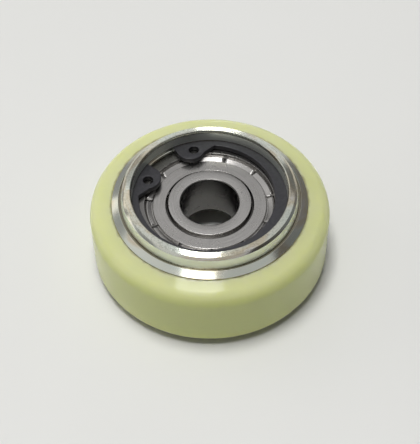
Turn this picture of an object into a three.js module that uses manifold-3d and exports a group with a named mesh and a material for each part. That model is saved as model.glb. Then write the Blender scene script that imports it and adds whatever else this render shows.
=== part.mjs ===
// Polyurethane track roller of the cam follower family: a cast tyre on a turned steel hub, which
// holds a shielded 12 x 32 x 10 deep groove ball bearing behind an internal retaining ring.
// Millimetres. The axis of rotation is +Z, and the hub's lower rim stands on z = 0.

import * as THREE from 'three';
import { mergeVertices } from 'three/addons/utils/BufferGeometryUtils.js';
import Module from 'manifold-3d';

const wasm = await Module();
wasm.setup();

// ---- driving dimensions ------------------------------------------------------------------------

const ROUND_SEGMENTS = 48;
const FIT_GAP = 0.05;

const TYRE_RADIUS = 25;
const TYRE_BOTTOM = 2.1;
const TYRE_TOP = 16.3;
const TYRE_TOP_SLOPE = THREE.MathUtils.degToRad(12);
const TYRE_TOP_ROUNDING = 2.8;
const TYRE_BOTTOM_ROUNDING = 0.4;

const HUB_HEIGHT = 20;
const HUB_BARREL_RADIUS = 20.3;
const HUB_LOWER_BORE_RADIUS = 14.2;
const LOWER_RIM_CHAMFER = 0.5;
const NECK_BASE_RADIUS = 18.25;
const NECK_TOP_RADIUS = 18;
const LAND_OUTER_RADIUS = 17.5;
const LAND_INNER_RADIUS = 16.35;
const LAND_FALL = 0.35;
const RIM_CHAMFER_HEIGHT = 0.45;
const MOUTH_CHAMFER_HEIGHT = 0.65;
const FLANGE_INNER_RADIUS = 18.85;
const UPPER_FLANGE_INNER_Z = 17.15;
const UPPER_FLANGE_OUTER_Z = 16.28;
const LOWER_FLANGE_INNER_Z = 1.2;
const LOWER_FLANGE_OUTER_Z = 2.05;
const RELIEF_DEPTH = 0.4;

const BEARING_BORE_RADIUS = 6;
const BEARING_OUTER_RADIUS = 16;
const BEARING_BOTTOM = 5.6;
const BEARING_TOP = 15.6;
const BEARING_MIDDLE = (BEARING_BOTTOM + BEARING_TOP) / 2;
const BORE_CHAMFER = 0.42;
const OUTER_CHAMFER = 0.5;
const INNER_RING_FACE_RADIUS = 8.63;
const INNER_RING_SHOULDER_RADIUS = 9.05;
const OUTER_RING_SHOULDER_RADIUS = 12.95;
const SHIELD_SEAT_RADIUS = 13.55;
const SHIELD_SEAT_DEPTH = 1.25;
const INNER_RING_STEP_DEPTH = 1.15;

const BALL_COUNT = 7;
const BALL_RADIUS = 5.953 / 2;
const PITCH_RADIUS = 11;
const GROOVE_RADIUS = BALL_RADIUS + 0.1;
const GROOVE_STEPS = 8;

const SHIELD_BORE_RADIUS = 9.2;
const SHIELD_DISC_RADIUS = 11.84;
const SHIELD_DISC_DEPTH = 0.56;
const SHIELD_THICKNESS = 0.3;
const SHIELD_EDGE_ROUNDING = 0.15;
const BEAD_INNER_RADIUS = 12.1;
const BEAD_OUTER_RADIUS = 13.45;
const BEAD_CREST_RADIUS = 13.05;
const BEAD_CREST_WIDTH = 0.2;
const BEAD_HEIGHT = 0.6;
const BEAD_BASE_HEIGHT = 0.15;
const NOTCH_COUNT = 11;
const NOTCH_WIDTH = 0.45;
const NOTCH_WALL = 0.1;
const NOTCH_FLOOR_HEIGHT = 0.22;
const NOTCH_START_ANGLE = THREE.MathUtils.degToRad(9.5);

const CAGE_INNER_RADIUS = 10.05;
const CAGE_OUTER_RADIUS = 11.95;
const CAGE_THICKNESS = 0.45;
const POCKET_RADIUS = BALL_RADIUS + 0.12;
const SECTIONS_PER_POCKET = 12;
const RIVET_SHANK_RADIUS = 0.35;
const RIVET_HOLE_RADIUS = 0.5;
const RIVET_HEAD_RADIUS = 0.7;
const RIVET_HEAD_HEIGHT = 0.3;
const RIVET_SEGMENTS = 8;

const CIRCLIP_THICKNESS = 1.2;
const CIRCLIP_GROOVE_WIDTH = 1.3;
const CIRCLIP_GROOVE_RADIUS = 16.85;
const CIRCLIP_OUTER_RADIUS = 16.8;
const CIRCLIP_INNER_RADIUS = 14.1;
const CIRCLIP_ECCENTRICITY = 0.85;
const CIRCLIP_OUTER_STEPS = 40;
const CIRCLIP_INNER_STEPS = 30;
const CIRCLIP_GAP_ANGLE = THREE.MathUtils.degToRad(131);
const LUG_ANGLE = THREE.MathUtils.degToRad(27.4);
const LUG_HOLE_CENTRE_RADIUS = 13.8;
const LUG_HOLE_RADIUS = 1.05;
const LUG_BEND_STEPS = 4;

// ---- materials ---------------------------------------------------------------------------------

const polyurethane = new THREE.MeshStandardMaterial({ color: 0xc9cf98, roughness: 0.35, metalness: 0 });
const turnedSteel = new THREE.MeshStandardMaterial({ color: 0xb9bab0, roughness: 0.25, metalness: 1 });
const bearingSteel = new THREE.MeshStandardMaterial({ color: 0x9c9793, roughness: 0.35, metalness: 1 });
const polishedSteel = new THREE.MeshStandardMaterial({ color: 0xd0d0d0, roughness: 0.08, metalness: 1 });
const pressedSteel = new THREE.MeshStandardMaterial({ color: 0xa5a3a0, roughness: 0.4, metalness: 1 });
const blackenedSteel = new THREE.MeshStandardMaterial({ color: 0x2b2a2e, roughness: 0.5, metalness: 0.6 });

// ---- helpers -----------------------------------------------------------------------------------

const part = new THREE.Group();

function addMesh(name, geometry, material) {
  const mesh = new THREE.Mesh(geometry, material);
  mesh.name = name;
  part.add(mesh);
  return mesh;
}

// A solid of revolution about +Z from [radius, z] points that run anticlockwise round the section.
function turned(section, segments = ROUND_SEGMENTS) {
  const points = section.map(([radius, z]) => new THREE.Vector2(radius, z));
  const closed = section[0][0] > 0;
  if (closed) {
    points.push(points[0].clone());
  }
  const geometry = new THREE.LatheGeometry(points, segments);
  geometry.rotateX(Math.PI / 2);
  return geometry;
}

// Points [radius, z] on an arc of the section, both ends included.
function sectionArc(centreRadius, centreZ, radius, startAngle, endAngle, steps) {
  const points = [];
  for (let i = 0; i <= steps; i += 1) {
    const angle = startAngle + ((endAngle - startAngle) * i) / steps;
    points.push([centreRadius + radius * Math.cos(angle), centreZ + radius * Math.sin(angle)]);
  }
  return points;
}

function mirrored(section) {
  return section.map(([radius, z]) => [radius, 2 * BEARING_MIDDLE - z]).reverse();
}

function toManifold(geometry) {
  const bare = geometry.clone();
  bare.deleteAttribute('normal');
  bare.deleteAttribute('uv');
  const welded = mergeVertices(bare, 1e-5);
  const vertProperties = new Float32Array(welded.attributes.position.array);
  const triVerts = new Uint32Array(welded.index.array);
  return new wasm.Manifold(new wasm.Mesh({ numProp: 3, vertProperties, triVerts }));
}

function fromManifold(solid) {
  const mesh = solid.getMesh();
  const geometry = new THREE.BufferGeometry();
  geometry.setAttribute('position', new THREE.BufferAttribute(mesh.vertProperties, 3));
  geometry.setIndex(new THREE.BufferAttribute(mesh.triVerts, 1));
  geometry.computeVertexNormals();
  return geometry;
}

function cutAway(geometry, cutters) {
  let solid = toManifold(geometry);
  for (const cutter of cutters) {
    solid = solid.subtract(toManifold(cutter));
  }
  return fromManifold(solid);
}

// Turns a mesh over about the bearing's middle plane.
function turnOver(mesh) {
  mesh.rotation.x = Math.PI;
  mesh.position.z = 2 * BEARING_MIDDLE;
}

// ---- tyre --------------------------------------------------------------------------------------

function tyreGeometry() {
  const boreRadius = HUB_BARREL_RADIUS + FIT_GAP;
  const edge = 0.2;
  const roundingCentre = TYRE_RADIUS - TYRE_TOP_ROUNDING;
  const slopeEnd = roundingCentre + TYRE_TOP_ROUNDING * Math.sin(TYRE_TOP_SLOPE);
  const slopeEndZ = TYRE_TOP - (slopeEnd - boreRadius - edge) * Math.tan(TYRE_TOP_SLOPE);
  const roundingCentreZ = slopeEndZ - TYRE_TOP_ROUNDING * Math.cos(TYRE_TOP_SLOPE);
  return turned([
    [boreRadius, TYRE_BOTTOM + edge],
    [boreRadius + edge, TYRE_BOTTOM],
    ...sectionArc(
      TYRE_RADIUS - TYRE_BOTTOM_ROUNDING, TYRE_BOTTOM + TYRE_BOTTOM_ROUNDING,
      TYRE_BOTTOM_ROUNDING, -Math.PI / 2, 0, 2,
    ),
    ...sectionArc(
      roundingCentre, roundingCentreZ, TYRE_TOP_ROUNDING, 0, Math.PI / 2 - TYRE_TOP_SLOPE, 6,
    ),
    [boreRadius + edge, TYRE_TOP],
    [boreRadius, TYRE_TOP - edge],
  ]);
}

// ---- hub ---------------------------------------------------------------------------------------

function hubGeometry() {
  const seatRadius = BEARING_OUTER_RADIUS + FIT_GAP;
  const seatBottom = BEARING_BOTTOM - FIT_GAP;
  const grooveBottom = BEARING_TOP + FIT_GAP;
  const grooveTop = grooveBottom + CIRCLIP_GROOVE_WIDTH;
  const landOuterZ = HUB_HEIGHT - LAND_FALL;
  return turned([
    [HUB_LOWER_BORE_RADIUS + LOWER_RIM_CHAMFER, 0],
    [NECK_TOP_RADIUS - LOWER_RIM_CHAMFER, 0],
    [NECK_TOP_RADIUS, LOWER_RIM_CHAMFER],
    [NECK_BASE_RADIUS, LOWER_FLANGE_INNER_Z + RELIEF_DEPTH],
    [FLANGE_INNER_RADIUS, LOWER_FLANGE_INNER_Z + RELIEF_DEPTH],
    [FLANGE_INNER_RADIUS, LOWER_FLANGE_INNER_Z],
    [HUB_BARREL_RADIUS, LOWER_FLANGE_OUTER_Z],
    [HUB_BARREL_RADIUS, UPPER_FLANGE_OUTER_Z],
    [FLANGE_INNER_RADIUS, UPPER_FLANGE_INNER_Z],
    [FLANGE_INNER_RADIUS, UPPER_FLANGE_INNER_Z - RELIEF_DEPTH],
    [NECK_BASE_RADIUS, UPPER_FLANGE_INNER_Z - RELIEF_DEPTH],
    [NECK_TOP_RADIUS, landOuterZ - RIM_CHAMFER_HEIGHT],
    [LAND_OUTER_RADIUS, landOuterZ],
    [LAND_INNER_RADIUS, HUB_HEIGHT],
    [seatRadius, HUB_HEIGHT - MOUTH_CHAMFER_HEIGHT],
    [seatRadius, grooveTop],
    [CIRCLIP_GROOVE_RADIUS, grooveTop],
    [CIRCLIP_GROOVE_RADIUS, grooveBottom],
    [seatRadius, grooveBottom],
    [seatRadius, seatBottom],
    [HUB_LOWER_BORE_RADIUS, seatBottom],
    [HUB_LOWER_BORE_RADIUS, LOWER_RIM_CHAMFER],
  ]);
}

// ---- retaining ring ----------------------------------------------------------------------------

function polarPoint(radius, angle) {
  return new THREE.Vector2(radius * Math.cos(angle), radius * Math.sin(angle));
}

// A point of the lug on one side of the gap, from its distance along the lug's radius and its
// distance towards the gap. side is 1 for the anticlockwise lug and -1 for the clockwise one.
function lugPoint(side, radial, towardsGap) {
  const lugAngle = CIRCLIP_GAP_ANGLE + side * LUG_ANGLE;
  const across = -side * towardsGap;
  return new THREE.Vector2(
    radial * Math.cos(lugAngle) - across * Math.sin(lugAngle),
    radial * Math.sin(lugAngle) + across * Math.cos(lugAngle),
  );
}

// The lug's edge from the outer circle, along the gap, round the tip and back to the ring.
function lugEdge(side) {
  const gapCorner = lugPoint(side, 16.2, 4.4);
  const gapFlankEnd = lugPoint(side, 13.0, 3.3);
  const tip = lugPoint(side, 11.35, 0.6);
  const ringFlankStart = lugPoint(side, 12.6, -1.9);
  const ringFlankEnd = lugPoint(side, 14.0, -4.55);
  const gapBend = new THREE.QuadraticBezierCurve(gapFlankEnd, lugPoint(side, 11.55, 2.7), tip);
  const ringBend = new THREE.QuadraticBezierCurve(tip, lugPoint(side, 11.35, -1.0), ringFlankStart);
  return [
    gapCorner,
    ...gapBend.getPoints(LUG_BEND_STEPS),
    ...ringBend.getPoints(LUG_BEND_STEPS).slice(1),
    ringFlankEnd,
  ];
}

function circlipGeometry() {
  const clockwiseLug = lugEdge(-1);
  const anticlockwiseLug = lugEdge(1);
  const outerStart = anticlockwiseLug[0].angle();
  const outerEnd = clockwiseLug[0].angle() + 2 * Math.PI;
  const innerStart = clockwiseLug.at(-1).angle() + 2 * Math.PI;
  const innerEnd = anticlockwiseLug.at(-1).angle();
  const outline = [];
  for (let i = 0; i <= CIRCLIP_OUTER_STEPS; i += 1) {
    const angle = outerStart + ((outerEnd - outerStart) * i) / CIRCLIP_OUTER_STEPS;
    outline.push(polarPoint(CIRCLIP_OUTER_RADIUS, angle));
  }
  outline.push(...clockwiseLug.slice(1));
  for (let i = 1; i < CIRCLIP_INNER_STEPS; i += 1) {
    const angle = innerStart + ((innerEnd - innerStart) * i) / CIRCLIP_INNER_STEPS;
    const widening = CIRCLIP_ECCENTRICITY * Math.cos(angle - CIRCLIP_GAP_ANGLE);
    outline.push(polarPoint(CIRCLIP_INNER_RADIUS + widening, angle));
  }
  outline.push(...anticlockwiseLug.slice(1).reverse());
  const shape = new THREE.Shape(outline);
  for (const side of [-1, 1]) {
    const centre = lugPoint(side, LUG_HOLE_CENTRE_RADIUS, 0);
    const hole = new THREE.Path();
    hole.absarc(centre.x, centre.y, LUG_HOLE_RADIUS, 0, 2 * Math.PI, true);
    shape.holes.push(hole);
  }
  const geometry = new THREE.ExtrudeGeometry(shape, {
    depth: CIRCLIP_THICKNESS,
    bevelEnabled: false,
    curveSegments: 6,
  });
  const grooveMiddle = BEARING_TOP + FIT_GAP + CIRCLIP_GROOVE_WIDTH / 2;
  geometry.translate(0, 0, grooveMiddle - CIRCLIP_THICKNESS / 2);
  return geometry;
}

// ---- bearing rings -----------------------------------------------------------------------------

function outerRingGeometry() {
  const grooveAngle = Math.acos((OUTER_RING_SHOULDER_RADIUS - PITCH_RADIUS) / GROOVE_RADIUS);
  const upperHalf = [
    [BEARING_OUTER_RADIUS, BEARING_TOP - OUTER_CHAMFER],
    [BEARING_OUTER_RADIUS - OUTER_CHAMFER, BEARING_TOP],
    [SHIELD_SEAT_RADIUS, BEARING_TOP],
    [SHIELD_SEAT_RADIUS, BEARING_TOP - SHIELD_SEAT_DEPTH],
    [OUTER_RING_SHOULDER_RADIUS, BEARING_TOP - SHIELD_SEAT_DEPTH],
  ];
  const groove = sectionArc(
    PITCH_RADIUS, BEARING_MIDDLE, GROOVE_RADIUS, grooveAngle, -grooveAngle, GROOVE_STEPS,
  );
  return turned([...upperHalf, ...groove, ...mirrored(upperHalf)]);
}

function innerRingGeometry() {
  const grooveAngle = Math.acos((PITCH_RADIUS - INNER_RING_SHOULDER_RADIUS) / GROOVE_RADIUS);
  const upperHalf = [
    [INNER_RING_SHOULDER_RADIUS, BEARING_TOP - INNER_RING_STEP_DEPTH],
    [INNER_RING_FACE_RADIUS, BEARING_TOP - INNER_RING_STEP_DEPTH],
    [INNER_RING_FACE_RADIUS, BEARING_TOP],
    [BEARING_BORE_RADIUS + BORE_CHAMFER, BEARING_TOP],
    [BEARING_BORE_RADIUS, BEARING_TOP - BORE_CHAMFER],
  ];
  const groove = sectionArc(
    PITCH_RADIUS, BEARING_MIDDLE, GROOVE_RADIUS, Math.PI + grooveAngle, Math.PI - grooveAngle,
    GROOVE_STEPS,
  );
  return turned([...upperHalf, ...mirrored(upperHalf), ...groove]);
}

// ---- rings whose section changes round the circle ----------------------------------------------

function placeSection(section, angle) {
  return section.map(([radius, z]) => new THREE.Vector3(
    radius * Math.cos(angle), radius * Math.sin(angle), z,
  ));
}

// A closed ring from placed sections that all have the same number of points.
function ringFromSections(sections) {
  const perSection = sections[0].length;
  const positions = [];
  const indices = [];
  for (const section of sections) {
    for (const point of section) {
      positions.push(point.x, point.y, point.z);
    }
  }
  for (let i = 0; i < sections.length; i += 1) {
    const here = i * perSection;
    const next = ((i + 1) % sections.length) * perSection;
    for (let j = 0; j < perSection; j += 1) {
      const k = (j + 1) % perSection;
      indices.push(here + j, next + j, next + k);
      indices.push(here + j, next + k, here + k);
    }
  }
  const geometry = new THREE.BufferGeometry();
  geometry.setAttribute('position', new THREE.Float32BufferAttribute(positions, 3));
  geometry.setIndex(indices);
  geometry.computeVertexNormals();
  return geometry;
}

// ---- shields -----------------------------------------------------------------------------------

function shieldSection(beadHeight) {
  const discTop = BEARING_TOP - SHIELD_DISC_DEPTH;
  const discBottom = discTop - SHIELD_THICKNESS;
  const base = BEARING_TOP - SHIELD_SEAT_DEPTH + FIT_GAP;
  const gutter = base + BEAD_BASE_HEIGHT;
  const stepInner = SHIELD_DISC_RADIUS - SHIELD_THICKNESS;
  const crest = base + beadHeight;
  return [
    [SHIELD_BORE_RADIUS, discBottom],
    [stepInner, discBottom],
    [stepInner, base],
    [BEAD_OUTER_RADIUS, base],
    [BEAD_OUTER_RADIUS, gutter],
    [BEAD_CREST_RADIUS + BEAD_CREST_WIDTH / 2, crest],
    [BEAD_CREST_RADIUS - BEAD_CREST_WIDTH / 2, crest],
    [BEAD_INNER_RADIUS, gutter],
    [SHIELD_DISC_RADIUS + SHIELD_EDGE_ROUNDING, gutter],
    [SHIELD_DISC_RADIUS, discTop - SHIELD_EDGE_ROUNDING],
    [SHIELD_DISC_RADIUS - SHIELD_EDGE_ROUNDING, discTop],
    [SHIELD_BORE_RADIUS, discTop],
  ];
}

function shieldGeometry() {
  const plain = shieldSection(BEAD_HEIGHT);
  const notched = shieldSection(NOTCH_FLOOR_HEIGHT);
  const pitchAngle = (2 * Math.PI) / NOTCH_COUNT;
  const floorHalfAngle = NOTCH_WIDTH / 2 / BEAD_OUTER_RADIUS;
  const wallHalfAngle = floorHalfAngle + NOTCH_WALL / BEAD_OUTER_RADIUS;
  const sections = [];
  for (let i = 0; i < NOTCH_COUNT; i += 1) {
    const centre = NOTCH_START_ANGLE + i * pitchAngle;
    sections.push(placeSection(plain, centre - wallHalfAngle));
    sections.push(placeSection(notched, centre - floorHalfAngle));
    sections.push(placeSection(notched, centre + floorHalfAngle));
    sections.push(placeSection(plain, centre + wallHalfAngle));
    sections.push(placeSection(plain, centre + pitchAngle / 3));
    sections.push(placeSection(plain, centre + (pitchAngle * 2) / 3));
  }
  return ringFromSections(sections);
}

// ---- cage --------------------------------------------------------------------------------------

function pocketHeight(alongPitch, radius) {
  const square = radius * radius - alongPitch * alongPitch;
  return square > 0 ? Math.sqrt(square) : 0;
}

function rivetAngle(index) {
  return ((index + 0.5) * 2 * Math.PI) / BALL_COUNT;
}

function cageHalfGeometry() {
  const sections = [];
  const count = BALL_COUNT * SECTIONS_PER_POCKET;
  for (let i = 0; i < count; i += 1) {
    const angle = (i * 2 * Math.PI) / count;
    const pitchAngle = (2 * Math.PI) / BALL_COUNT;
    const fromBall = angle - Math.round(angle / pitchAngle) * pitchAngle;
    const alongPitch = fromBall * PITCH_RADIUS;
    const low = Math.max(FIT_GAP, pocketHeight(alongPitch, POCKET_RADIUS));
    const high = Math.max(
      FIT_GAP + CAGE_THICKNESS,
      pocketHeight(alongPitch, POCKET_RADIUS + CAGE_THICKNESS),
    );
    const corners = [
      [CAGE_INNER_RADIUS, BEARING_MIDDLE + low],
      [CAGE_OUTER_RADIUS, BEARING_MIDDLE + low],
      [CAGE_OUTER_RADIUS, BEARING_MIDDLE + high],
      [CAGE_INNER_RADIUS, BEARING_MIDDLE + high],
    ];
    sections.push(placeSection(corners, angle));
  }
  const holes = [];
  for (let i = 0; i < BALL_COUNT; i += 1) {
    const hole = new THREE.CylinderGeometry(RIVET_HOLE_RADIUS, RIVET_HOLE_RADIUS, 4, RIVET_SEGMENTS);
    hole.rotateX(Math.PI / 2);
    hole.translate(PITCH_RADIUS, 0, BEARING_MIDDLE);
    hole.rotateZ(rivetAngle(i));
    holes.push(hole);
  }
  return cutAway(ringFromSections(sections), holes);
}

function rivetGeometry() {
  const headBase = 2 * FIT_GAP + CAGE_THICKNESS;
  const headTop = headBase + RIVET_HEAD_HEIGHT;
  return turned([
    [0, -headTop],
    [RIVET_HEAD_RADIUS * 0.7, -headTop],
    [RIVET_HEAD_RADIUS, -headBase],
    [RIVET_SHANK_RADIUS, -headBase],
    [RIVET_SHANK_RADIUS, headBase],
    [RIVET_HEAD_RADIUS, headBase],
    [RIVET_HEAD_RADIUS * 0.7, headTop],
    [0, headTop],
  ], RIVET_SEGMENTS);
}

function placeOnPitchCircle(mesh, angle) {
  mesh.position.set(PITCH_RADIUS * Math.cos(angle), PITCH_RADIUS * Math.sin(angle), BEARING_MIDDLE);
  mesh.rotation.z = angle;
}

// ---- assembly ----------------------------------------------------------------------------------

addMesh('tyre', tyreGeometry(), polyurethane);
addMesh('hub', hubGeometry(), turnedSteel);
addMesh('circlip', circlipGeometry(), blackenedSteel);
addMesh('bearing_outer_ring', outerRingGeometry(), bearingSteel);
addMesh('bearing_inner_ring', innerRingGeometry(), bearingSteel);
addMesh('shield_upper', shieldGeometry(), pressedSteel);
turnOver(addMesh('shield_lower', shieldGeometry(), pressedSteel));
addMesh('cage_upper', cageHalfGeometry(), pressedSteel);
turnOver(addMesh('cage_lower', cageHalfGeometry(), pressedSteel));

for (let i = 0; i < BALL_COUNT; i += 1) {
  const ball = addMesh(`ball_${i + 1}`, new THREE.SphereGeometry(BALL_RADIUS, 16, 8), polishedSteel);
  ball.geometry.rotateX(Math.PI / 2);
  placeOnPitchCircle(ball, (i * 2 * Math.PI) / BALL_COUNT);
}

for (let i = 0; i < BALL_COUNT; i += 1) {
  const rivet = addMesh(`cage_rivet_${i + 1}`, rivetGeometry(), pressedSteel);
  placeOnPitchCircle(rivet, rivetAngle(i));
}

export default part;
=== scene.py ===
"""Cam follower roller on a pale table: the looks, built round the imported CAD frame.

Sections are written in millimetres as (radius, height) outlines and turned about the Z axis.
"""

import math

import bmesh
import bpy
from mathutils import Matrix, Vector


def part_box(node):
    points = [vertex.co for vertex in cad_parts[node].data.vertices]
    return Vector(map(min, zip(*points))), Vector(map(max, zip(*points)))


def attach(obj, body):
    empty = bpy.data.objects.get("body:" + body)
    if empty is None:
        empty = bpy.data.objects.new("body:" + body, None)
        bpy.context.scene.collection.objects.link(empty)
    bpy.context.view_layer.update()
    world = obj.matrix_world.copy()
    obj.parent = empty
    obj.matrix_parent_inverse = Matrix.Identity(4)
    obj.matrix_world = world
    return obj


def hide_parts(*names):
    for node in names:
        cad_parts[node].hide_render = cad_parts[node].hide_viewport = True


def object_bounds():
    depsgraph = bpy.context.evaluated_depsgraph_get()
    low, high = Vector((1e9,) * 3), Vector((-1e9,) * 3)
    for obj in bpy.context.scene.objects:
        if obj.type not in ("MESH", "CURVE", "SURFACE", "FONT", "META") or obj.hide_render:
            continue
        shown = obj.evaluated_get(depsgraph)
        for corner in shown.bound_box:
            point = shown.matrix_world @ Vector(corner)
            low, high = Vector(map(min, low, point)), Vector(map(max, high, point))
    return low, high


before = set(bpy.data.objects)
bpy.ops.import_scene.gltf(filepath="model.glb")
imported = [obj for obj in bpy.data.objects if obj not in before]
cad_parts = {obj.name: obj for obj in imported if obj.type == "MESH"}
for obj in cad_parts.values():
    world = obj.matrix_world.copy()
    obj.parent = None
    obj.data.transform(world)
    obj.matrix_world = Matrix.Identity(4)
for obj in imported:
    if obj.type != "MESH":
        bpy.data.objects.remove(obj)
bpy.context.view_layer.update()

MM = 0.001

# ---- what the frame says -----------------------------------------------------------------------


def outer_radius(node):
    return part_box(node)[1].x / MM


def bottom(node):
    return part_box(node)[0].z / MM


def top(node):
    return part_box(node)[1].z / MM


TYRE_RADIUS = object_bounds()[1].x / MM
TYRE_BOTTOM = bottom("tyre")
TYRE_TOP = top("tyre")
BARREL_RADIUS = outer_radius("hub")
HUB_TOP = top("hub")
RING_RADIUS = outer_radius("bearing_outer_ring")
BEARING_TOP = top("bearing_outer_ring")
BEARING_BOTTOM = bottom("bearing_outer_ring")
BEARING_MIDDLE = (BEARING_TOP + BEARING_BOTTOM) / 2
SHIELD_RADIUS = outer_radius("shield_upper")
SHIELD_BASE = bottom("shield_upper")
SHIELD_TOP = top("shield_upper")
CIRCLIP_BOTTOM = bottom("circlip")
CIRCLIP_TOP = top("circlip")

# ---- sizes that the frame's boxes don't give ---------------------------------------------------

TOP_SLOPE = math.radians(12)
TYRE_TOP_ROUNDING = 3.1
TYRE_BOTTOM_ROUNDING = 0.4
BOND_ROUNDING = 0.25
NECK_BASE_RADIUS = 18.4
NECK_TOP_RADIUS = 18.0
LAND_OUTER_RADIUS = 17.5
LAND_INNER_RADIUS = 16.27
LAND_FALL = 0.35
RIM_CHAMFER_HEIGHT = 0.45
MOUTH_CHAMFER_HEIGHT = 0.65
FLANGE_INNER_RADIUS = 18.85
UPPER_FLANGE_Z = 17.15
LOWER_FLANGE_Z = 1.2
RELIEF_DEPTH = 0.4
LOWER_BORE_RADIUS = 14.2
CIRCLIP_GROOVE_RADIUS = 16.85
BORE_RADIUS = 6.0
BORE_CHAMFER = 0.36
INNER_FACE_RADIUS = 8.63
INNER_SHOULDER_RADIUS = 9.05
OUTER_SHOULDER_RADIUS = 12.95
SHIELD_SEAT_RADIUS = 13.55
SHIELD_DISC_RADIUS = 11.84
SHIELD_BORE_RADIUS = 9.2
SHIELD_THICKNESS = 0.3
SHIELD_GUTTER_HEIGHT = 0.15
SHIELD_BEAD_HEIGHT = 0.58
NOTCH_FLOOR_HEIGHT = 0.2
NOTCH_WALL = 0.06
INNER_STEP_DEPTH = 1.15
FIT_GAP = 0.02
BEAD_INNER_RADIUS = 12.1
BEAD_CREST_RADIUS = 13.05
BEAD_CREST_WIDTH = 0.2
NOTCH_COUNT = 11
NOTCH_WIDTH = 0.5
NOTCH_START = math.radians(9.5)
BALL_COUNT = 7
PITCH_RADIUS = 11.0
BALL_RADIUS = 5.953 / 2
GROOVE_RADIUS = BALL_RADIUS + 0.1

ROUND_SEGMENTS = 224

WALL_SHADE_START = 24.0
BOND_STAIN_START = 19.5
RIM_SHADE_START = 13.0
BORE_SHADE_WIDTH = 0.3

# ---- mesh helpers ------------------------------------------------------------------------------


def finish_piece(obj, body, replaced, material):
    """Gives a piece its material, its body and the CAD nodes that it stands for."""
    obj.data.materials.clear()
    obj.data.materials.append(material)
    for face in obj.data.polygons:
        face.use_smooth = True
    weighted = obj.modifiers.new("even_normals", "WEIGHTED_NORMAL")
    weighted.weight = 60
    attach(obj, body)
    if replaced:
        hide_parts(*replaced)
    return obj


def mesh_object(name, vertices, faces):
    mesh = bpy.data.meshes.new(name)
    mesh.from_pydata([Vector(v) * MM for v in vertices], [], faces)
    mesh.validate()
    obj = bpy.data.objects.new(name, mesh)
    bpy.context.scene.collection.objects.link(obj)
    work = bmesh.new()
    work.from_mesh(mesh)
    bmesh.ops.recalc_face_normals(work, faces=work.faces)
    work.to_mesh(mesh)
    work.free()
    return obj


def rounded(corners, steps=5):
    """The closed outline through (radius, z, rounding) corners, with an arc at each rounded one."""
    outline = []
    count = len(corners)
    for i, (r, z, rounding) in enumerate(corners):
        here = Vector((r, z))
        before = Vector(corners[i - 1][:2]) - here
        after = Vector(corners[(i + 1) % count][:2]) - here
        if rounding <= 0:
            outline.append(here)
            continue
        half = before.angle(after) / 2
        reach = min(rounding / math.tan(half), 0.48 * before.length, 0.48 * after.length)
        radius = reach * math.tan(half)
        before.normalize()
        after.normalize()
        centre = here + (before + after).normalized() * (radius / math.sin(half))
        start = here + before * reach - centre
        turn = start.angle_signed(here + after * reach - centre)
        for k in range(steps + 1):
            angle = -turn * k / steps
            spun = Matrix.Rotation(angle, 2) @ start
            outline.append(centre + spun)
    return [(p.x, p.y) for p in outline]


def arc(centre_r, centre_z, radius, start, end, steps):
    """Corner points, with no rounding of their own, on an arc of the section."""
    points = []
    for k in range(steps + 1):
        angle = start + (end - start) * k / steps
        points.append((centre_r + radius * math.cos(angle), centre_z + radius * math.sin(angle), 0))
    return points


def ring_of_sections(name, sections):
    """A closed ring from sections, each a list of (x, y, z) points of the same number."""
    count = len(sections[0])
    vertices = [point for section in sections for point in section]
    faces = []
    for i in range(len(sections)):
        here = i * count
        following = ((i + 1) % len(sections)) * count
        for j in range(count):
            k = (j + 1) % count
            faces.append((here + j, following + j, following + k, here + k))
    return mesh_object(name, vertices, faces)


def place_section(outline, angle):
    return [(r * math.cos(angle), r * math.sin(angle), z) for r, z in outline]


def turned(name, outline):
    """A solid of revolution from its section's outline."""
    angles = [2 * math.pi * i / ROUND_SEGMENTS for i in range(ROUND_SEGMENTS)]
    return ring_of_sections(name, [place_section(outline, a) for a in angles])


def mirrored(corners):
    """The section corners turned over about the bearing's middle plane."""
    return [(r, 2 * BEARING_MIDDLE - z, rounding) for r, z, rounding in reversed(corners)]


# ---- materials ---------------------------------------------------------------------------------


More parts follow.
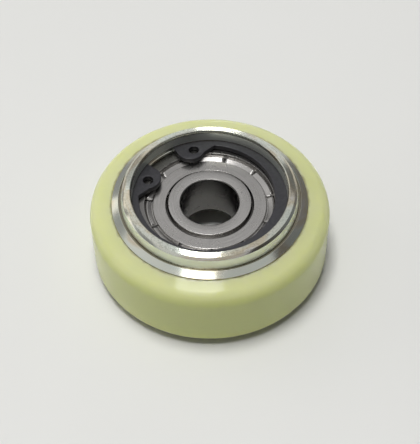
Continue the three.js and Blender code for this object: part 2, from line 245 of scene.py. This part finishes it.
class Nodes:
    """A material's node tree, with short calls for the nodes that the finishes share."""

    def __init__(self, name):
        self.material = bpy.data.materials.new(name)
        self.material.use_nodes = True
        self.tree = self.material.node_tree
        self.shader = self.tree.nodes["Principled BSDF"]
        self.coordinates = self.tree.nodes.new("ShaderNodeTexCoord").outputs["Object"]

    def link(self, source, target):
        self.tree.links.new(source, target)

    def math(self, operation, first, second=None, third=None):
        node = self.tree.nodes.new("ShaderNodeMath")
        node.operation = operation
        for socket, value in zip(node.inputs, (first, second, third)):
            if value is None:
                continue
            if isinstance(value, (int, float)):
                socket.default_value = value
            else:
                self.link(value, socket)
        return node.outputs[0]

    def cylindrical(self, around=1.0, along=1.0, out=1.0):
        """Coordinates (angle, radius, height) in radians and millimetres, each scaled."""
        separate = self.tree.nodes.new("ShaderNodeSeparateXYZ")
        self.link(self.coordinates, separate.inputs[0])
        x, y, z = separate.outputs
        angle = self.math("ARCTAN2", y, x)
        squares = self.math("ADD", self.math("MULTIPLY", x, x), self.math("MULTIPLY", y, y))
        radius = self.math("SQRT", squares)
        combine = self.tree.nodes.new("ShaderNodeCombineXYZ")
        self.link(self.math("MULTIPLY", angle, around), combine.inputs[0])
        self.link(self.math("MULTIPLY", radius, out / MM), combine.inputs[1])
        self.link(self.math("MULTIPLY", z, along / MM), combine.inputs[2])
        return combine.outputs[0]

    def radius_mm(self):
        return self.part(self.cylindrical(), 1)

    def height_mm(self):
        return self.part(self.cylindrical(), 2)

    def part(self, vector, index):
        separate = self.tree.nodes.new("ShaderNodeSeparateXYZ")
        self.link(vector, separate.inputs[0])
        return separate.outputs[index]

    def scaled(self, per_mm):
        """Object coordinates in millimetres times a scale."""
        node = self.tree.nodes.new("ShaderNodeVectorMath")
        node.operation = "SCALE"
        self.link(self.coordinates, node.inputs[0])
        node.inputs["Scale"].default_value = per_mm / MM
        return node.outputs[0]

    def noise(self, vector, scale=1.0, detail=3.0, roughness=0.5, distortion=0.0):
        node = self.tree.nodes.new("ShaderNodeTexNoise")
        self.link(vector, node.inputs["Vector"])
        node.inputs["Scale"].default_value = scale
        node.inputs["Detail"].default_value = detail
        node.inputs["Roughness"].default_value = roughness
        node.inputs["Distortion"].default_value = distortion
        return node.outputs["Fac"]

    def ramp(self, factor, *stops):
        node = self.tree.nodes.new("ShaderNodeValToRGB")
        self.link(factor, node.inputs[0])
        elements = node.color_ramp.elements
        while len(elements) < len(stops):
            elements.new(0.5)
        for element, (position, colour) in zip(elements, stops):
            element.position = position
            element.color = (*colour, 1)
        return node.outputs[0]

    def grey_ramp(self, factor, *stops):
        return self.ramp(factor, *[(p, (v, v, v)) for p, v in stops])

    def mix(self, factor, first, second, blend="MIX"):
        node = self.tree.nodes.new("ShaderNodeMix")
        node.data_type = "RGBA"
        node.blend_type = blend
        sockets = (node.inputs[0], node.inputs[6], node.inputs[7])
        for socket, value in zip(sockets, (factor, first, second)):
            if isinstance(value, (int, float)):
                socket.default_value = value
            elif isinstance(value, tuple):
                socket.default_value = (*value, 1)
            else:
                self.link(value, socket)
        return node.outputs[2]

    def bump(self, height, strength, distance_mm, below=None):
        node = self.tree.nodes.new("ShaderNodeBump")
        node.inputs["Strength"].default_value = strength
        node.inputs["Distance"].default_value = distance_mm * MM
        self.link(height, node.inputs["Height"])
        if below is not None:
            self.link(below, node.inputs["Normal"])
        return node.outputs[0]

    def between(self, value, low, high):
        """1 where the value lies between two limits, and 0 elsewhere."""
        above = self.math("GREATER_THAN", value, low)
        return self.math("MULTIPLY", above, self.math("LESS_THAN", value, high))

    def set(self, **values):
        for name, value in values.items():
            socket = self.shader.inputs[name.replace("_", " ")]
            if isinstance(value, (int, float, tuple)):
                socket.default_value = value
            else:
                self.link(value, socket)


def polyurethane():
    """Cast plastic under a clear skin, with painted shade on the rolling wall and stained at the bond.
    """
    n = Nodes("cast_polyurethane")
    cloud = n.noise(n.scaled(0.12), detail=4)
    colour = n.ramp(cloud, (0.3, (0.61, 0.64, 0.305)), (0.7, (0.645, 0.665, 0.335)))
    radius = n.radius_mm()
    # painted shade: the rolling wall gets a darker, less blue colour to offset the table's light
    # reflected in it
    wall = n.grey_ramp(n.math("SUBTRACT", radius, WALL_SHADE_START), (0.2, 0.0), (0.95, 1.0))
    colour = n.mix(wall, colour, (0.585, 0.625, 0.245))
    ragged = n.math("MULTIPLY", n.noise(n.scaled(0.6), detail=3), 0.9)
    from_bond = n.math("SUBTRACT", n.math("SUBTRACT", radius, ragged), BOND_STAIN_START)
    colour = n.mix(n.grey_ramp(from_bond, (0.3, 1.0), (0.85, 0.0)), colour, (0.30, 0.27, 0.13))
    fine = n.noise(n.scaled(0.9), detail=2)
    normal = n.bump(fine, 0.03, 0.05)
    n.set(Base_Color=colour, Normal=normal, Roughness=0.5, Specular_IOR_Level=0.3)
    n.set(Coat_Weight=0.55, Coat_Roughness=0.05)
    n.set(Subsurface_Weight=1.0, Subsurface_Scale=0.004, Subsurface_Radius=(1.0, 1.0, 0.6))
    return n.material


def turned_steel():
    """Plated steel with a grained land, a satin neck painted pale as a painted reflection, and painted
    shade in the groove at the neck's foot.
    """
    n = Nodes("plated_turned_steel")
    height = n.height_mm()
    radius = n.radius_mm()
    tint = n.noise(n.cylindrical(around=1.6, along=0.25, out=0.25), detail=3, distortion=0.4)
    colour = n.ramp(
        tint,
        (0.32, (0.62, 0.66, 0.60)),
        (0.50, (0.67, 0.68, 0.60)),
        (0.60, (0.62, 0.56, 0.43)),
        (0.70, (0.66, 0.64, 0.60)),
    )
    land = n.math("GREATER_THAN", height, HUB_TOP - LAND_FALL - 0.08)
    grains = n.noise(n.scaled(2.8), detail=3, roughness=0.75)
    speckle = n.math("MULTIPLY", n.grey_ramp(grains, (0.48, 0.0), (0.68, 0.45)), land)
    colour = n.mix(speckle, colour, (0.24, 0.25, 0.19))
    # painted shade: the groove floor at the neck's foot is darkened where shade falls
    groove_floor = UPPER_FLANGE_Z - RELIEF_DEPTH
    at_floor = n.between(height, groove_floor - 0.05, groove_floor + 0.1)
    in_groove = n.between(radius, NECK_TOP_RADIUS, FLANGE_INNER_RADIUS + 0.01)
    colour = n.mix(n.math("MULTIPLY", at_floor, in_groove), colour, (0.24, 0.22, 0.17))
    # painted reflection: the neck's colour is made pale and greenish to stand in for the flange and tyre
    # it reflects; its added roughness below is its real satin finish
    neck = n.between(height, UPPER_FLANGE_Z, HUB_TOP - LAND_FALL - RIM_CHAMFER_HEIGHT)
    colour = n.mix(n.math("MULTIPLY", neck, 0.9), colour, (0.92, 0.96, 0.88))
    lines = n.noise(n.cylindrical(around=0.5, along=9.0, out=9.0), detail=2)
    normal = n.bump(lines, 0.10, 0.01)
    normal = n.bump(n.math("MULTIPLY", grains, land), 0.25, 0.02, normal)
    n.set(Base_Color=colour, Normal=normal, Metallic=1.0)
    rough = n.math("SUBTRACT", 0.14, n.math("MULTIPLY", land, 0.03))
    n.set(Roughness=n.math("ADD", rough, n.math("MULTIPLY", neck, 0.26)))
    return n.material


def ground_steel(name, light, dark, rough, shade=None):
    """Steel with fine turning lines, faint blotches, a few dark specks and, where a mask is given,
    painted shade.
    """
    n = Nodes(name)
    lines = n.noise(n.cylindrical(around=1.2, along=7.0, out=7.0), detail=3)
    blotch = n.noise(n.scaled(0.35), detail=4)
    colour = n.mix(n.grey_ramp(lines, (0.3, 0.0), (0.7, 1.0)), dark, light)
    colour = n.mix(n.grey_ramp(blotch, (0.35, 0.0), (0.75, 0.25)), colour, (0.30, 0.29, 0.27))
    specks = n.noise(n.scaled(1.5), detail=1, roughness=0.4)
    colour = n.mix(n.grey_ramp(specks, (0.78, 0.0), (0.82, 0.7)), colour, (0.08, 0.07, 0.06))
    # painted shade: the given mask darkens the colour where it is high
    if shade:
        colour = n.mix(shade(n), colour, (0.05, 0.048, 0.045))
    normal = n.bump(lines, 0.15, 0.008)
    n.set(Base_Color=colour, Normal=normal, Metallic=1.0)
    n.set(Roughness=n.grey_ramp(blotch, (0.3, rough), (0.8, rough + 0.08)))
    return n.material


def ring_painted_shade(n):
    """Painted shade in the bore, in the gap by the shield and on the outer ring's rim."""
    radius = n.radius_mm()
    rim = n.grey_ramp(n.math("SUBTRACT", radius, RIM_SHADE_START), (0.3, 0.0), (0.8, 0.6))
    bore = n.math("MULTIPLY", n.math("LESS_THAN", radius, BORE_RADIUS + BORE_SHADE_WIDTH), 0.8)
    gap_middle = (INNER_FACE_RADIUS + SHIELD_BORE_RADIUS) / 2
    gap = n.math("MULTIPLY", n.math("COMPARE", radius, gap_middle, 0.27), 0.9)
    return n.math("MAXIMUM", n.math("MAXIMUM", rim, bore), gap)


def notch_painted_shade(n):
    """Painted shade in the notches of the bead."""
    place = n.cylindrical()
    turns = n.math("MULTIPLY", n.math("SUBTRACT", n.part(place, 0), NOTCH_START), NOTCH_COUNT)
    near = n.grey_ramp(n.math("COSINE", turns), (0.975, 0.0), (0.99, 0.95))
    bead = n.math("GREATER_THAN", n.part(place, 1), SHIELD_DISC_RADIUS)
    return n.math("MULTIPLY", near, bead)


def blackened_steel():
    n = Nodes("phosphated_steel")
    grain = n.noise(n.scaled(1.6), detail=3)
    colour = n.ramp(grain, (0.3, (0.010, 0.010, 0.013)), (0.75, (0.026, 0.025, 0.030)))
    normal = n.bump(grain, 0.15, 0.02)
    n.set(Base_Color=colour, Normal=normal, Specular_IOR_Level=0.6)
    n.set(Roughness=n.grey_ramp(grain, (0.3, 0.32), (0.8, 0.45)))
    return n.material


def table_surface():
    n = Nodes("pale_table")
    cloud = n.noise(n.scaled(0.01), detail=3)
    grain = n.noise(n.scaled(0.6), detail=2)
    colour = n.ramp(cloud, (0.3, (0.74, 0.74, 0.715)), (0.7, (0.76, 0.76, 0.735)))
    n.set(Base_Color=colour, Normal=n.bump(grain, 0.05, 0.05), Roughness=0.6)
    return n.material


PU = polyurethane()
HUB_STEEL = turned_steel()
# the ring steel carries painted shade in its bore, its gap by the shield and its rim
RING_STEEL = ground_steel(
    "ground_bearing_steel", (0.50, 0.485, 0.47), (0.40, 0.39, 0.375), 0.23, ring_painted_shade
)
# the shield steel carries painted shade in the bead's notches
SHIELD_STEEL = ground_steel(
    "pressed_shield_steel", (0.47, 0.455, 0.44), (0.39, 0.38, 0.365), 0.23, notch_painted_shade
)
CAGE_STEEL = ground_steel("pressed_cage_steel", (0.62, 0.60, 0.56), (0.5, 0.48, 0.45), 0.3)
BALL_STEEL = ground_steel("polished_ball_steel", (0.7, 0.7, 0.7), (0.66, 0.66, 0.66), 0.06)
BLACK_STEEL = blackened_steel()

# ---- tyre and hub ------------------------------------------------------------------------------


def make_tyre():
    inner = BARREL_RADIUS + FIT_GAP
    slope_fall = math.tan(TOP_SLOPE) * (TYRE_RADIUS - inner)
    outline = rounded([
        (inner, TYRE_BOTTOM, 0.15),
        (TYRE_RADIUS, TYRE_BOTTOM, TYRE_BOTTOM_ROUNDING),
        (TYRE_RADIUS, TYRE_TOP - slope_fall, TYRE_TOP_ROUNDING),
        (inner, TYRE_TOP, BOND_ROUNDING),
    ], steps=14)
    obj = turned("tyre_cast", outline)
    finish_piece(obj, "roller", ["tyre"], PU)


def make_hub():
    seat = RING_RADIUS + FIT_GAP
    land_z = HUB_TOP - LAND_FALL
    outline = rounded([
        (LOWER_BORE_RADIUS, 0, 0.35),
        (NECK_TOP_RADIUS, 0, 0.4),
        (NECK_BASE_RADIUS, LOWER_FLANGE_Z + RELIEF_DEPTH, 0.08),
        (FLANGE_INNER_RADIUS, LOWER_FLANGE_Z + RELIEF_DEPTH, 0.08),
        (FLANGE_INNER_RADIUS, LOWER_FLANGE_Z, 0.06),
        (BARREL_RADIUS, TYRE_BOTTOM - 0.03, 0.12),
        (BARREL_RADIUS, TYRE_TOP - FIT_GAP, 0.12),
        (FLANGE_INNER_RADIUS, UPPER_FLANGE_Z, 0.06),
        (FLANGE_INNER_RADIUS, UPPER_FLANGE_Z - RELIEF_DEPTH, 0.08),
        (NECK_BASE_RADIUS, UPPER_FLANGE_Z - RELIEF_DEPTH, 0.08),
        (NECK_TOP_RADIUS, land_z - RIM_CHAMFER_HEIGHT, 0.08),
        (LAND_OUTER_RADIUS, land_z, 0.08),
        (LAND_INNER_RADIUS, HUB_TOP, 0.24),
        (seat, HUB_TOP - MOUTH_CHAMFER_HEIGHT, 0.06),
        (seat, CIRCLIP_TOP + 0.05, 0.04),
        (CIRCLIP_GROOVE_RADIUS, CIRCLIP_TOP + 0.05, 0),
        (CIRCLIP_GROOVE_RADIUS, CIRCLIP_BOTTOM - 0.05, 0),
        (seat, CIRCLIP_BOTTOM - 0.05, 0.03),
        (seat, BEARING_BOTTOM - FIT_GAP, 0),
        (LOWER_BORE_RADIUS, BEARING_BOTTOM - FIT_GAP, 0.1),
    ], steps=4)
    obj = turned("hub_turned", outline)
    finish_piece(obj, "roller", ["hub"], HUB_STEEL)


# ---- bearing -----------------------------------------------------------------------------------


def make_outer_ring():
    groove_angle = math.acos((OUTER_SHOULDER_RADIUS - PITCH_RADIUS) / GROOVE_RADIUS)
    upper = [
        (RING_RADIUS, BEARING_TOP, 0.45),
        (SHIELD_SEAT_RADIUS, BEARING_TOP, 0.08),
        (SHIELD_SEAT_RADIUS, SHIELD_BASE - FIT_GAP, 0),
        (OUTER_SHOULDER_RADIUS, SHIELD_BASE - FIT_GAP, 0.05),
    ]
    groove = arc(PITCH_RADIUS, BEARING_MIDDLE, GROOVE_RADIUS, groove_angle, -groove_angle, 20)
    obj = turned("bearing_outer_race", rounded([*upper, *groove, *mirrored(upper)]))
    finish_piece(obj, "roller", ["bearing_outer_ring"], RING_STEEL)


def make_inner_ring():
    groove_angle = math.acos((PITCH_RADIUS - INNER_SHOULDER_RADIUS) / GROOVE_RADIUS)
    step_z = BEARING_TOP - INNER_STEP_DEPTH
    upper = [
        (INNER_SHOULDER_RADIUS, step_z, 0.05),
        (INNER_FACE_RADIUS, step_z, 0),
        (INNER_FACE_RADIUS, BEARING_TOP, 0.1),
        (BORE_RADIUS, BEARING_TOP, BORE_CHAMFER),
    ]
    groove = arc(
        PITCH_RADIUS, BEARING_MIDDLE, GROOVE_RADIUS, math.pi + groove_angle, math.pi - groove_angle, 20
    )
    obj = turned("bearing_inner_race", rounded([*upper, *mirrored(upper), *groove]))
    finish_piece(obj, "inner_ring", ["bearing_inner_ring"], RING_STEEL)


def shield_outline(bead_height):
    """The shield's section, with its bead raised to a height above its base."""
    gutter = SHIELD_BASE + SHIELD_GUTTER_HEIGHT
    crest = SHIELD_BASE + bead_height
    step_inner = SHIELD_DISC_RADIUS - SHIELD_THICKNESS
    return rounded([
        (SHIELD_BORE_RADIUS, SHIELD_TOP - SHIELD_THICKNESS, 0.05),
        (step_inner, SHIELD_TOP - SHIELD_THICKNESS, 0.05),
        (step_inner, SHIELD_BASE, 0.05),
        (SHIELD_RADIUS, SHIELD_BASE, 0.03),
        (SHIELD_RADIUS, gutter, 0.05),
        (BEAD_CREST_RADIUS + BEAD_CREST_WIDTH / 2, crest, 0.08),
        (BEAD_CREST_RADIUS - BEAD_CREST_WIDTH / 2, crest, 0.12),
        (BEAD_INNER_RADIUS, gutter, 0.05),
        (SHIELD_DISC_RADIUS + 0.08, gutter, 0.05),
        (SHIELD_DISC_RADIUS, SHIELD_TOP, 0.2),
        (SHIELD_BORE_RADIUS, SHIELD_TOP, 0.08),
    ])


def shield_sections():
    """Sections round the shield, closer together where a notch cuts the bead."""
    half_notch = NOTCH_WIDTH / 2 / SHIELD_RADIUS
    wall = NOTCH_WALL / SHIELD_RADIUS
    pitch = 2 * math.pi / NOTCH_COUNT
    plain_steps = 18
    sections = []
    for i in range(NOTCH_COUNT):
        centre = NOTCH_START + i * pitch
        for offset, height in (
            (-half_notch - wall, SHIELD_BEAD_HEIGHT),
            (-half_notch, NOTCH_FLOOR_HEIGHT),
            (half_notch, NOTCH_FLOOR_HEIGHT),
            (half_notch + wall, SHIELD_BEAD_HEIGHT),
        ):
            sections.append(place_section(shield_outline(height), centre + offset))
        span = pitch - 2 * (half_notch + wall)
        for k in range(1, plain_steps):
            angle = centre + half_notch + wall + span * k / plain_steps
            sections.append(place_section(shield_outline(SHIELD_BEAD_HEIGHT), angle))
    return sections


def make_shield(name, node, turned_over):
    sections = shield_sections()
    if turned_over:
        sections = [[(x, -y, 2 * BEARING_MIDDLE - z) for x, y, z in s] for s in sections]
    obj = ring_of_sections(name, sections)
    finish_piece(obj, "roller", [node], SHIELD_STEEL)


# ---- retaining ring ----------------------------------------------------------------------------

GAP_ANGLE = math.radians(131)
LUG_ANGLE = math.radians(27.4)
CLIP_RADIUS = 16.8
CLIP_INNER_RADIUS = 14.1
CLIP_ECCENTRICITY = 0.85
LUG_HOLE_CENTRE = 13.8
LUG_HOLE_RADIUS = 1.05


def polar(radius, angle):
    return Vector((radius * math.cos(angle), radius * math.sin(angle)))


def lug_point(side, radial, towards_gap):
    angle = GAP_ANGLE + side * LUG_ANGLE
    return Matrix.Rotation(angle, 2) @ Vector((radial, -side * towards_gap))


def bend(start, control, end, steps=8):
    points = []
    for k in range(steps + 1):
        t = k / steps
        points.append(start * (1 - t) ** 2 + control * 2 * t * (1 - t) + end * t * t)
    return points


def lug_edge(side):
    tip = lug_point(side, 11.35, 0.6)
    gap_side = bend(lug_point(side, 13.0, 3.3), lug_point(side, 11.55, 2.7), tip)
    ring_side = bend(tip, lug_point(side, 11.35, -1.0), lug_point(side, 12.6, -1.9))
    return [lug_point(side, 16.2, 4.4), *gap_side, *ring_side[1:], lug_point(side, 14.0, -4.55)]


def angle_of(point):
    return math.atan2(point.y, point.x) % (2 * math.pi)


def clip_outline():
    first = lug_edge(1)
    second = lug_edge(-1)
    outer_steps = 160
    inner_steps = 110
    outline = []
    start, end = angle_of(first[0]), angle_of(second[0]) + 2 * math.pi
    for k in range(outer_steps + 1):
        outline.append(polar(CLIP_RADIUS, start + (end - start) * k / outer_steps))
    outline += second[1:]
    start, end = angle_of(second[-1]) + 2 * math.pi, angle_of(first[-1])
    for k in range(1, inner_steps):
        angle = start + (end - start) * k / inner_steps
        widening = CLIP_ECCENTRICITY * math.cos(angle - GAP_ANGLE)
        outline.append(polar(CLIP_INNER_RADIUS + widening, angle))
    outline += reversed(first[1:])
    return outline


def hole_outline(side, steps=36):
    centre = lug_point(side, LUG_HOLE_CENTRE, 0)
    return [centre + polar(LUG_HOLE_RADIUS, -2 * math.pi * k / steps) for k in range(steps)]


def make_circlip():
    edge = 0.13
    curve = bpy.data.curves.new("retaining_ring", "CURVE")
    curve.dimensions = "2D"
    curve.fill_mode = "BOTH"
    curve.extrude = (CIRCLIP_TOP - CIRCLIP_BOTTOM) / 2 * MM - edge * MM
    curve.bevel_depth = edge * MM
    curve.bevel_resolution = 3
    curve.offset = -edge * MM
    for outline in (clip_outline(), hole_outline(-1), hole_outline(1)):
        spline = curve.splines.new("POLY")
        spline.points.add(len(outline) - 1)
        for point, target in zip(spline.points, outline):
            point.co = (target.x * MM, target.y * MM, 0, 1)
        spline.use_cyclic_u = True
    drawn = bpy.data.objects.new("retaining_ring_curve", curve)
    bpy.context.scene.collection.objects.link(drawn)
    evaluated = drawn.evaluated_get(bpy.context.evaluated_depsgraph_get())
    mesh = bpy.data.meshes.new_from_object(evaluated)
    bpy.data.objects.remove(drawn)
    mesh.transform(Matrix.Translation((0, 0, (CIRCLIP_TOP + CIRCLIP_BOTTOM) / 2 * MM)))
    obj = bpy.data.objects.new("retaining_ring", mesh)
    bpy.context.scene.collection.objects.link(obj)
    work = bmesh.new()
    work.from_mesh(mesh)
    bmesh.ops.remove_doubles(work, verts=work.verts, dist=0.002 * MM)
    bmesh.ops.recalc_face_normals(work, faces=work.faces)
    work.to_mesh(mesh)
    work.free()
    finish_piece(obj, "roller", ["circlip"], BLACK_STEEL)


# ---- balls and cage ----------------------------------------------------------------------------


def make_balls():
    for i in range(BALL_COUNT):
        node = f"ball_{i + 1}"
        low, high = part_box(node)
        centre = (low + high) / 2
        work = bmesh.new()
        bmesh.ops.create_uvsphere(work, u_segments=48, v_segments=24, radius=BALL_RADIUS * MM)
        bmesh.ops.translate(work, verts=work.verts, vec=centre)
        mesh = bpy.data.meshes.new(f"bearing_{node}")
        work.to_mesh(mesh)
        work.free()
        obj = bpy.data.objects.new(f"bearing_{node}", mesh)
        bpy.context.scene.collection.objects.link(obj)
        finish_piece(obj, f"rolling_{node}", [node], BALL_STEEL)


def give_cage_steel():
    for name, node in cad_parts.items():
        if name.startswith("cage_"):
            node.data.materials.clear()
            node.data.materials.append(CAGE_STEEL)


# ---- table, light and camera -------------------------------------------------------------------


def make_table():
    size = 1.6
    vertices = [(-size, -size, 0), (size, -size, 0), (size, size, 0), (-size, size, 0)]
    mesh = bpy.data.meshes.new("table")
    mesh.from_pydata(vertices, [], [(0, 1, 2, 3)])
    obj = bpy.data.objects.new("table", mesh)
    bpy.context.scene.collection.objects.link(obj)
    mesh.materials.append(table_surface())


def area_light(name, location, size, radiance, colour=(1, 1, 1), upward=(0, 0, 1), seen_by="both"):
    """A rectangular lamp facing the roller, with its height turned towards the upward direction."""
    light = bpy.data.lights.new(name, "AREA")
    light.shape = "RECTANGLE"
    light.size, light.size_y = size
    light.energy = radiance * math.pi * size[0] * size[1]
    light.color = colour
    obj = bpy.data.objects.new(name, light)
    bpy.context.scene.collection.objects.link(obj)
    obj.location = location
    obj.visible_diffuse = seen_by != "gloss"
    obj.visible_glossy = seen_by != "diffuse"
    back = (obj.location - Vector((0, 0, 0.015))).normalized()
    across = Vector(upward).cross(back).normalized()
    turned_to = Matrix((across, back.cross(across), back)).transposed()
    obj.rotation_mode = "QUATERNION"
    obj.rotation_quaternion = turned_to.to_quaternion()


def world_shade(tree, component, start, end, low, high):
    """A smooth change of brightness along one component of the direction."""
    shade = tree.nodes.new("ShaderNodeMapRange")
    shade.interpolation_type = "SMOOTHSTEP"
    tree.links.new(component, shade.inputs["Value"])
    shade.inputs["From Min"].default_value = start
    shade.inputs["From Max"].default_value = end
    shade.inputs["To Min"].default_value = low
    shade.inputs["To Max"].default_value = high
    return shade.outputs[0]


def make_lights():
    along = (0.17, 1, 0)
    area_light("overhead", (-0.08, 0, 1.0), (0.28, 0.4), 22.0, upward=along, seen_by="diffuse")
    area_light("near_panel", (-0.13, -0.37, 1.0), (0.385, 0.45), 2.8, upward=along, seen_by="gloss")
    area_light("far_panel", (-0.07, 0.08, 1.0), (0.22, 0.42), 8.0, upward=along, seen_by="gloss")
    area_light("ceiling_glow", (-0.15, -0.15, 1.15), (2.6, 3.2), 0.45, upward=(0, 1, 0), seen_by="gloss")
    area_light("window", (-0.81, 0.526, 0.259), (0.31, 0.28), 0.9, (1.0, 0.94, 0.86))
    area_light("window_fill", (-0.85, 0.3, 0.4), (0.5, 0.5), 0.8, (1.0, 0.97, 0.92), seen_by="diffuse")
    area_light("far_lamp", (0.045, 0.96, 0.235), (0.19, 0.12), 4.5)
    area_light("far_wall", (0.1, 1.0, 0.42), (1.0, 0.3), 0.6, seen_by="gloss")
    area_light("left_wall", (-1.0, -0.05, 0.2), (0.7, 0.3), 1.0, (1.0, 0.98, 0.95), seen_by="gloss")
    area_light("left_ceiling", (-0.5, 0.64, 0.6), (0.6, 0.35), 0.2, (1.0, 0.97, 0.92), seen_by="gloss")
    world = bpy.data.worlds.new("studio")
    bpy.context.scene.world = world
    world.use_nodes = True
    tree = world.node_tree
    direction = tree.nodes.new("ShaderNodeTexCoord").outputs["Generated"]
    separate = tree.nodes.new("ShaderNodeSeparateXYZ")
    tree.links.new(direction, separate.inputs[0])
    sideways = world_shade(tree, separate.outputs[0], 0.3, -0.8, 0.04, 0.22)
    lengthways = world_shade(tree, separate.outputs[1], -0.6, 0.4, 0.02, 0.16)
    total = tree.nodes.new("ShaderNodeMath")
    tree.links.new(sideways, total.inputs[0])
    tree.links.new(lengthways, total.inputs[1])
    background = tree.nodes["Background"]
    background.inputs["Color"].default_value = (0.98, 0.98, 1.0, 1)
    tree.links.new(total.outputs[0], background.inputs["Strength"])


def make_camera():
    elevation = math.radians(50.4)
    distance = 231.6
    aim_forward = -5.34
    roll = math.radians(-0.77)
    camera = bpy.data.cameras.new("camera")
    camera.lens = 90.6
    camera.sensor_width = 36
    obj = bpy.data.objects.new("camera", camera)
    bpy.context.scene.collection.objects.link(obj)
    face_centre = Vector((0, 0, BEARING_TOP * MM))
    back = Vector((0, -math.cos(elevation), math.sin(elevation)))
    obj.location = face_centre + back * distance * MM
    aim = face_centre + Vector((0, aim_forward * MM, 0))
    obj.rotation_mode = "QUATERNION"
    level = (aim - obj.location).to_track_quat("-Z", "Y")
    obj.rotation_quaternion = level @ Matrix.Rotation(roll, 3, "Z").to_quaternion()
    camera.clip_start = 0.01
    camera.clip_end = 10
    bpy.context.scene.camera = obj


make_tyre()
make_hub()
make_outer_ring()
make_inner_ring()
make_shield("shield_top", "shield_upper", False)
make_shield("shield_bottom", "shield_lower", True)
make_circlip()
make_balls()
give_cage_steel()
make_table()
make_lights()
make_camera()
bpy.context.scene.view_settings.view_transform = "Standard"
